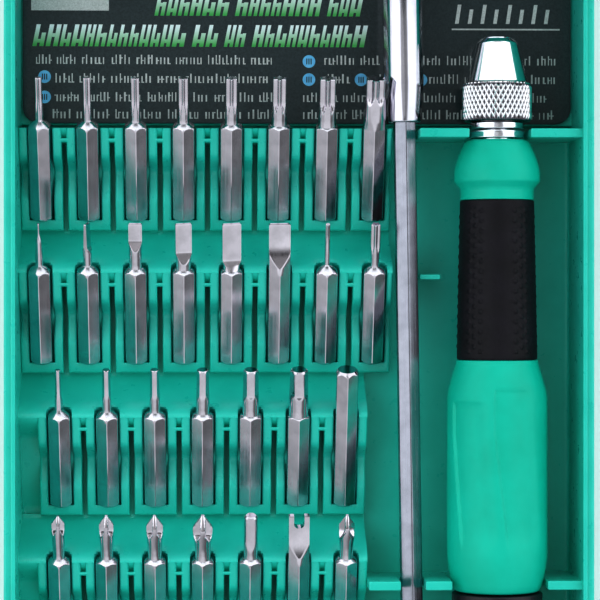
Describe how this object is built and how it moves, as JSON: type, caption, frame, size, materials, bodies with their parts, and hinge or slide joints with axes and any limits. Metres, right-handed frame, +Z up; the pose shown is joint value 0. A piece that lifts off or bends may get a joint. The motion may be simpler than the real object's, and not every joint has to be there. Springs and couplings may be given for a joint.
{
  "type": "precision screwdriver set",
  "caption": "Flat green case with a clear hinged lid, tilted rows of small hexagonal screwdriver bits, a soft-grip handle with a collet chuck and a bit extension.",
  "frame": {"origin": "centre of the case's flat underside", "axes": "+X to the right along a row of bits, +Y towards the lid hinge, +Z up"},
  "size_m": [0.108, 0.1584, 0.1722],
  "materials": {
    "case_green": "satin moulded green plastic",
    "card_print": "glossy black printed card",
    "tool_steel": "plain bright steel",
    "lid_clear": "clear polystyrene",
    "handle_green": "satin moulded green plastic",
    "grip_rubber": "soft black rubber with fine dots",
    "collet_steel": "turned bright steel",
    "nut_plated": "plated, with a diamond knurl",
    "cap_black": "black moulded plastic",
    "shank_steel": "drawn bright steel",
    "socket_chrome": "polished chrome plate",
    "bit_steel": "ground alloy steel, nickel tone"
  },
  "bodies": {
    "case": {"case_tray": "case_green", "bit_rack_1": "case_green", "bit_rack_2": "case_green", "bit_rack_3": "case_green", "bit_rack_4": "case_green", "printed_card": "card_print", "hinge_pin_left": "tool_steel", "hinge_pin_right": "tool_steel"},
    "lid": {"lid": "lid_clear"},
    "handle": {"handle_body": "handle_green", "handle_grip": "grip_rubber", "handle_ferrule": "collet_steel", "collet": "collet_steel", "swivel_pin": "tool_steel"},
    "chuck": {"chuck_nut": "nut_plated"},
    "end_cap": {"swivel_cap": "cap_black"},
    "extension": {"extension_shank": "shank_steel", "extension_socket": "socket_chrome", "socket_magnet": "tool_steel"},
    "bit_star_04": {"bit_star_04": "bit_steel"},
    "bit_star_05": {"bit_star_05": "bit_steel"},
    "bit_star_06": {"bit_star_06": "bit_steel"},
    "bit_star_07": {"bit_star_07": "bit_steel"},
    "bit_star_08": {"bit_star_08": "bit_steel"},
    "bit_star_10": {"bit_star_10": "bit_steel"},
    "bit_star_15": {"bit_star_15": "bit_steel"},
    "bit_star_20": {"bit_star_20": "bit_steel"},
    "bit_five_point_08": {"bit_five_point_08": "bit_steel"},
    "bit_slot_15": {"bit_slot_15": "bit_steel"},
    "bit_slot_25": {"bit_slot_25": "bit_steel"},
    "bit_slot_30": {"bit_slot_30": "bit_steel"},
    "bit_slot_35": {"bit_slot_35": "bit_steel"},
    "bit_slot_40": {"bit_slot_40": "bit_steel"},
    "bit_five_point_10": {"bit_five_point_10": "bit_steel"},
    "bit_five_point_12": {"bit_five_point_12": "bit_steel"},
    "bit_hex_09": {"bit_hex_09": "bit_steel"},
    "bit_hex_13": {"bit_hex_13": "bit_steel"},
    "bit_hex_15": {"bit_hex_15": "bit_steel"},
    "bit_hex_20": {"bit_hex_20": "bit_steel"},
    "bit_hex_25": {"bit_hex_25": "bit_steel"},
    "bit_hex_30": {"bit_hex_30": "bit_steel"},
    "bit_hex_40": {"bit_hex_40": "bit_steel"},
    "bit_cross_00": {"bit_cross_00": "bit_steel"},
    "bit_cross_0": {"bit_cross_0": "bit_steel"},
    "bit_cross_1": {"bit_cross_1": "bit_steel"},
    "bit_cross_2": {"bit_cross_2": "bit_steel"},
    "bit_triangle_20": {"bit_triangle_20": "bit_steel"},
    "bit_fork": {"bit_fork": "bit_steel"},
    "bit_three_wing_30": {"bit_three_wing_30": "bit_steel"}
  },
  "joints": [
    {"name": "lid_hinge", "type": "hinge", "parent": "case", "child": "lid", "pos_m": [0, 0.077, 0.01935], "axis": [-1, 0, 0], "range_deg": [-90, 0]},
    {"name": "handle_lift", "type": "slide", "parent": "case", "child": "handle", "axis": [0, 0, 1], "range_m": [0, 0.045]},
    {"name": "chuck_turn", "type": "hinge", "parent": "handle", "child": "chuck", "pos_m": [0.03675, 0.035, 0.013], "axis": [0, 1, 0], "range_deg": [0, 720]},
    {"name": "cap_swivel", "type": "hinge", "parent": "handle", "child": "end_cap", "pos_m": [0.03675, -0.061, 0.013], "axis": [0, 1, 0], "continuous": true},
    {"name": "extension_lift", "type": "slide", "parent": "case", "child": "extension", "axis": [0, 0, 1], "range_m": [0, 0.045]},
    {"name": "bit_star_04_lift", "type": "slide", "parent": "case", "child": "bit_star_04", "axis": [0, 0.5, 0.866], "range_m": [0, 0.035]},
    {"name": "bit_star_05_lift", "type": "slide", "parent": "case", "child": "bit_star_05", "axis": [0, 0.5, 0.866], "range_m": [0, 0.035]},
    {"name": "bit_star_06_lift", "type": "slide", "parent": "case", "child": "bit_star_06", "axis": [0, 0.5, 0.866], "range_m": [0, 0.035]},
    {"name": "bit_star_07_lift", "type": "slide", "parent": "case", "child": "bit_star_07", "axis": [0, 0.5, 0.866], "range_m": [0, 0.035]},
    {"name": "bit_star_08_lift", "type": "slide", "parent": "case", "child": "bit_star_08", "axis": [0, 0.5, 0.866], "range_m": [0, 0.035]},
    {"name": "bit_star_10_lift", "type": "slide", "parent": "case", "child": "bit_star_10", "axis": [0, 0.5, 0.866], "range_m": [0, 0.035]},
    {"name": "bit_star_15_lift", "type": "slide", "parent": "case", "child": "bit_star_15", "axis": [0, 0.5, 0.866], "range_m": [0, 0.035]},
    {"name": "bit_star_20_lift", "type": "slide", "parent": "case", "child": "bit_star_20", "axis": [0, 0.5, 0.866], "range_m": [0, 0.035]},
    {"name": "bit_five_point_08_lift", "type": "slide", "parent": "case", "child": "bit_five_point_08", "axis": [0, 0.5, 0.866], "range_m": [0, 0.035]},
    {"name": "bit_slot_15_lift", "type": "slide", "parent": "case", "child": "bit_slot_15", "axis": [0, 0.5, 0.866], "range_m": [0, 0.035]},
    {"name": "bit_slot_25_lift", "type": "slide", "parent": "case", "child": "bit_slot_25", "axis": [0, 0.5, 0.866], "range_m": [0, 0.035]},
    {"name": "bit_slot_30_lift", "type": "slide", "parent": "case", "child": "bit_slot_30", "axis": [0, 0.5, 0.866], "range_m": [0, 0.035]},
    {"name": "bit_slot_35_lift", "type": "slide", "parent": "case", "child": "bit_slot_35", "axis": [0, 0.5, 0.866], "range_m": [0, 0.035]},
    {"name": "bit_slot_40_lift", "type": "slide", "parent": "case", "child": "bit_slot_40", "axis": [0, 0.5, 0.866], "range_m": [0, 0.035]},
    {"name": "bit_five_point_10_lift", "type": "slide", "parent": "case", "child": "bit_five_point_10", "axis": [0, 0.5, 0.866], "range_m": [0, 0.035]},
    {"name": "bit_five_point_12_lift", "type": "slide", "parent": "case", "child": "bit_five_point_12", "axis": [0, 0.5, 0.866], "range_m": [0, 0.035]},
    {"name": "bit_hex_09_lift", "type": "slide", "parent": "case", "child": "bit_hex_09", "axis": [0, 0.5, 0.866], "range_m": [0, 0.035]},
    {"name": "bit_hex_13_lift", "type": "slide", "parent": "case", "child": "bit_hex_13", "axis": [0, 0.5, 0.866], "range_m": [0, 0.035]},
    {"name": "bit_hex_15_lift", "type": "slide", "parent": "case", "child": "bit_hex_15", "axis": [0, 0.5, 0.866], "range_m": [0, 0.035]},
    {"name": "bit_hex_20_lift", "type": "slide", "parent": "case", "child": "bit_hex_20", "axis": [0, 0.5, 0.866], "range_m": [0, 0.035]},
    {"name": "bit_hex_25_lift", "type": "slide", "parent": "case", "child": "bit_hex_25", "axis": [0, 0.5, 0.866], "range_m": [0, 0.035]},
    {"name": "bit_hex_30_lift", "type": "slide", "parent": "case", "child": "bit_hex_30", "axis": [0, 0.5, 0.866], "range_m": [0, 0.035]},
    {"name": "bit_hex_40_lift", "type": "slide", "parent": "case", "child": "bit_hex_40", "axis": [0, 0.5, 0.866], "range_m": [0, 0.035]},
    {"name": "bit_cross_00_lift", "type": "slide", "parent": "case", "child": "bit_cross_00", "axis": [0, 0.5, 0.866], "range_m": [0, 0.035]},
    {"name": "bit_cross_0_lift", "type": "slide", "parent": "case", "child": "bit_cross_0", "axis": [0, 0.5, 0.866], "range_m": [0, 0.035]},
    {"name": "bit_cross_1_lift", "type": "slide", "parent": "case", "child": "bit_cross_1", "axis": [0, 0.5, 0.866], "range_m": [0, 0.035]},
    {"name": "bit_cross_2_lift", "type": "slide", "parent": "case", "child": "bit_cross_2", "axis": [0, 0.5, 0.866], "range_m": [0, 0.035]},
    {"name": "bit_triangle_20_lift", "type": "slide", "parent": "case", "child": "bit_triangle_20", "axis": [0, 0.5, 0.866], "range_m": [0, 0.035]},
    {"name": "bit_fork_lift", "type": "slide", "parent": "case", "child": "bit_fork", "axis": [0, 0.5, 0.866], "range_m": [0, 0.035]},
    {"name": "bit_three_wing_30_lift", "type": "slide", "parent": "case", "child": "bit_three_wing_30", "axis": [0, 0.5, 0.866], "range_m": [0, 0.035]}
  ]
}
